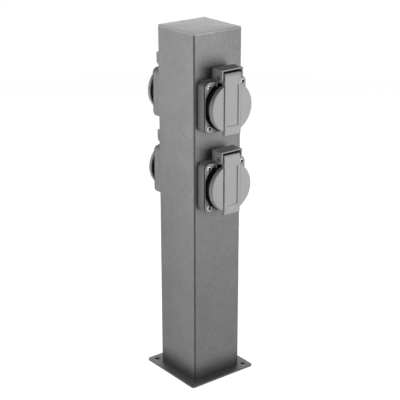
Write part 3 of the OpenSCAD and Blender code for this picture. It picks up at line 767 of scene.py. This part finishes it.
# painted shade under each hood's front edge, as a black strip round the hinge pin: millimetres and degrees
barrelShade = {
    "half": 10.0,
    "inner": 5.2,
    "outer": 6.1,
    "from": 43,
    "to": 118,
    "blunt": 0.1,
    "bluntSteps": 3,
    "steps": 14,
    "sharp": 40,
}


def makeBarrelShades():
    # painted shade: a black strip over the hinge's barrel darkens the gap seen under the hood's front edge;
    # an arc's section carried across
    outer = arc(pinMiddle, barrelShade["outer"], barrelShade["from"], barrelShade["to"], barrelShade["steps"])
    inner = arc(pinMiddle, barrelShade["inner"], barrelShade["to"], barrelShade["from"], barrelShade["steps"])
    section = blunted(np.concatenate([outer, inner]), barrelShade["blunt"], barrelShade["bluntSteps"])
    place = np.array([-1, 1]) * barrelShade["half"]
    out, height = (np.broadcast_to(section[:, k], (2, len(section))) for k in (0, 1))
    points = np.stack([place[:, None] + 0 * out, out, height], axis=-1)
    for name in sockets:
        surface = {"points": atSocket(points, name), "ends": True}
        mesh = gridMesh(name + "_hingeShadeStrip", [surface], barrelShade["sharp"])
        addPiece(mesh, name + "_hingeShadeStrip", name + "_lid", "black_rubber")


makeBarrelShades()
print("hinge strips made")

# painted shadow line round each frame, as a black strip; sizes in millimetres
shadowLine = {
    "half": 26.24,
    "cornerRadius": 6.04,
    "inner": 25.9,
    "from": 10.75,
    "to": 11.42,
    "cornerSteps": 9,
    "sharp": 40,
}


def makePaintedShadowLines():
    # painted shadow: a black strip that stands in for the shadow line between the frame's body and its
    # front;
    # square rings with round corners, one for each corner of a small closed section
    half = np.array([shadowLine["inner"], shadowLine["half"], shadowLine["half"], shadowLine["inner"]])
    out = np.array([shadowLine["from"], shadowLine["from"], shadowLine["to"], shadowLine["to"]])
    x, z = squareRing(half, shadowLine["cornerRadius"] - (shadowLine["half"] - half), shadowLine["cornerSteps"])
    points = np.stack([x, out[:, None] + 0 * x, z], axis=-1)
    for name in sockets:
        surface = {"points": atSocket(points, name), "closed": True}
        mesh = gridMesh(name + "_frameShadowLine", [surface], shadowLine["sharp"])
        addPiece(mesh, name + "_frameShadowLine", "post", "black_rubber")


makePaintedShadowLines()
print("frame seams made")

# the rings of the head are given as the share of its radius where they start and stop, and their number
screw = {
    "place": 21.0,
    "front": 12.2,
    "radius": 3.0,
    "rim": 0.7,
    "rise": 1.7,
    "recess": 1.3,
    "armHalf": 0.75,
    "armLength": 1.9,
    "sideSlope": 0.3,
    "endSlope": 0.5,
    "darkFrom": 0.35,
    "shank": 2.0,
    "end": -6.0,
    "rings": ((0, 0.8, 22), (0.84, 1, 6)),
    "steps": 96,
    "sharp": 40,
}


def crossShare(x, z):
    # one inside the screw's cross, nought outside, with a slope at the sides and the end of each arm
    first, second = np.abs(x + z) / np.sqrt(2), np.abs(x - z) / np.sqrt(2)

    def within(distance, limit, slope):
        return np.clip((limit + slope / 2 - distance) / slope, 0, 1)

    def arm(beside, along):
        across = within(beside, screw["armHalf"], screw["sideSlope"])
        return across * within(along, screw["armLength"], screw["endSlope"])

    return np.maximum(arm(first, second), arm(second, first))


def makeScrews():
    # one screw on a polar grid: half an ellipse turned round its axis, less a cross of even depth; the last
    # rings run down the rim, in to the shank and along it to its end
    share = np.concatenate([np.linspace(*part) for part in screw["rings"]])[:, None]
    angle = np.linspace(0, 2 * np.pi, screw["steps"], endpoint=False)[None, :]
    radius = screw["radius"] * share + 0 * angle
    dome = screw["rim"] + (screw["rise"] - screw["rim"]) * np.sqrt(1 - share ** 2)
    cross = crossShare(radius * np.cos(angle), radius * np.sin(angle))
    level = screw["front"] + dome - screw["recess"] * cross
    tailRadius = np.array([screw["radius"], screw["shank"], screw["shank"], 0])[:, None] + 0 * angle
    tailLevel = np.array([screw["front"], screw["front"], screw["end"], screw["end"]])[:, None] + 0 * angle
    radius = np.concatenate([radius, tailRadius])
    level = np.concatenate([level, tailLevel])
    one = np.stack([radius * np.cos(angle), level, radius * np.sin(angle)], axis=-1)
    both = (-screw["place"], screw["place"])
    places = [(x, 0, z) for x in both for z in both]
    for name in sockets:
        surfaces = [{"points": atSocket(one + place, name)} for place in places]
        mesh = gridMesh(name + "_crossScrews", surfaces, screw["sharp"])
        addPiece(mesh, name + "_crossScrews", "post", "zinc_screw", (name + "_frame_screws",))
        # painted shade: the faces inside a cross take the near-black finish, for the shade in the recess
        centres = np.empty(len(mesh.polygons) * 3)
        mesh.polygons.foreach_get("center", centres)
        side, aside, middle = socketPlace(name)
        x, y, z = (centres.reshape(-1, 3) - (aside, 0, middle)).T / mm
        depth = crossShare(np.abs(x) - screw["place"], np.abs(z) - screw["place"])
        inside = (depth > screw["darkFrom"]) & (np.abs(y) > postHalf + screw["front"])
        mesh.materials.append(ownFinishes["screwRecess"])
        mesh.polygons.foreach_set("material_index", inside.astype(np.int32))


makeScrews()
print("screws made")

seal = {
    "drop": 0.8,
    "blunt": 0.3,
    "bluntSteps": 5,
    "steps": 96,
    "sharp": 70,
    "section": [
        (20.1, 19.6), (20.1, 17.9), (20.6, 17.1), (21.2, 17.3), (22.0, 17.12), (22.6, 17.15), (22.7, 17.7),
        (23.6, 18.0), (23.6, 19.6)],
}


def makeSeals():
    # the ring's cross-section, with blunt corners, carried once round the lid's axis
    ring = turnedAbout(blunted(seal["section"], seal["blunt"], seal["bluntSteps"]), seal["steps"])
    ring[..., 2] -= seal["drop"]
    for name in sockets:
        surface = {"points": atSocket(ring, name), "closed": True}
        mesh = gridMesh(name + "_sealRing", [surface], seal["sharp"])
        addPiece(mesh, name + "_sealRing", name + "_lid", "black_rubber", (name + "_lid_seal",))


makeSeals()
print("seal rings made")


def makePins():
    # radius along the pin, carried round its axis; at each end the radius falls as a power of the cosine
    # while the tip rises by the sine
    turn = np.linspace(0, np.pi / 2, pin["domeSteps"])
    radius = pin["radius"] * np.cos(turn) ** pin["domePower"]
    tip = pin["end"] - pin["dome"] * (1 - np.sin(turn))
    along = np.concatenate([-tip[::-1], tip])
    radii = np.concatenate([radius[::-1], radius])
    angle = np.linspace(0, 2 * np.pi, pin["steps"], endpoint=False)[None, :]
    points = np.stack([
        along[:, None] + 0 * angle,
        pin["out"] + radii[:, None] * np.cos(angle),
        pin["up"] + radii[:, None] * np.sin(angle)], axis=-1)
    for name in sockets:
        mesh = gridMesh(name + "_pin", [{"points": atSocket(points, name)}], pin["sharp"])
        # the pin takes the near-black finish: painted shade for the recess round its ends
        addPiece(mesh, name + "_pin", "post", "zinc_screw", (name + "_hinge_pin",), ownFinishes["pin"])


makePins()
print("pins made")

spring = {
    "wire": 0.8,
    "width": 5.0,
    "curls": 5.5,
    "pitch": 1.3,
    "leg": (4.0, 0.35, 8),
    "perCurl": 28,
    "sides": 12,
    "sharp": 50,
}


def makeSprings():
    # a round section carried along a leg, a screw line and a leg; each end closes on the middle of its ring
    turns = np.linspace(0, spring["curls"], int(spring["curls"] * spring["perCurl"]) + 1)
    angle = -2 * np.pi * turns
    half = spring["pitch"] * spring["curls"] / 2
    ring = spring["width"] / 2
    curl = np.stack([spring["pitch"] * turns - half, -ring * np.cos(angle), ring * np.sin(angle)], axis=-1)
    legs = -np.linspace(*spring["leg"])
    start = np.stack([0 * legs - half, 0 * legs - ring, legs], axis=-1)
    finish = np.stack([0 * legs + half, 0 * legs + ring, legs], axis=-1)[::-1]
    path = np.concatenate([start, curl, finish])
    along = np.gradient(path, axis=0)
    along /= np.linalg.norm(along, axis=1, keepdims=True)
    first = np.cross(along, (1, 0, 0))
    first /= np.linalg.norm(first, axis=1, keepdims=True)
    second = np.cross(along, first)
    radius = spring["wire"] / 2
    around = np.linspace(0, 2 * np.pi, spring["sides"], endpoint=False)[None, :, None]
    section = radius * (np.cos(around) * first[:, None] + np.sin(around) * second[:, None])
    centre = path[:, None] + 0 * section
    points = np.concatenate([centre[:1], centre + section, centre[-1:]])
    points += np.array([0, *pinMiddle])
    for name in sockets:
        mesh = gridMesh(name + "_spring", [{"points": atSocket(points, name)}], spring["sharp"])
        addPiece(mesh, name + "_spring", name + "_lid", "spring_steel", (name + "_lid_spring",))


makeSprings()
print("springs made")

bpy.context.scene.view_settings.view_transform = "Standard"
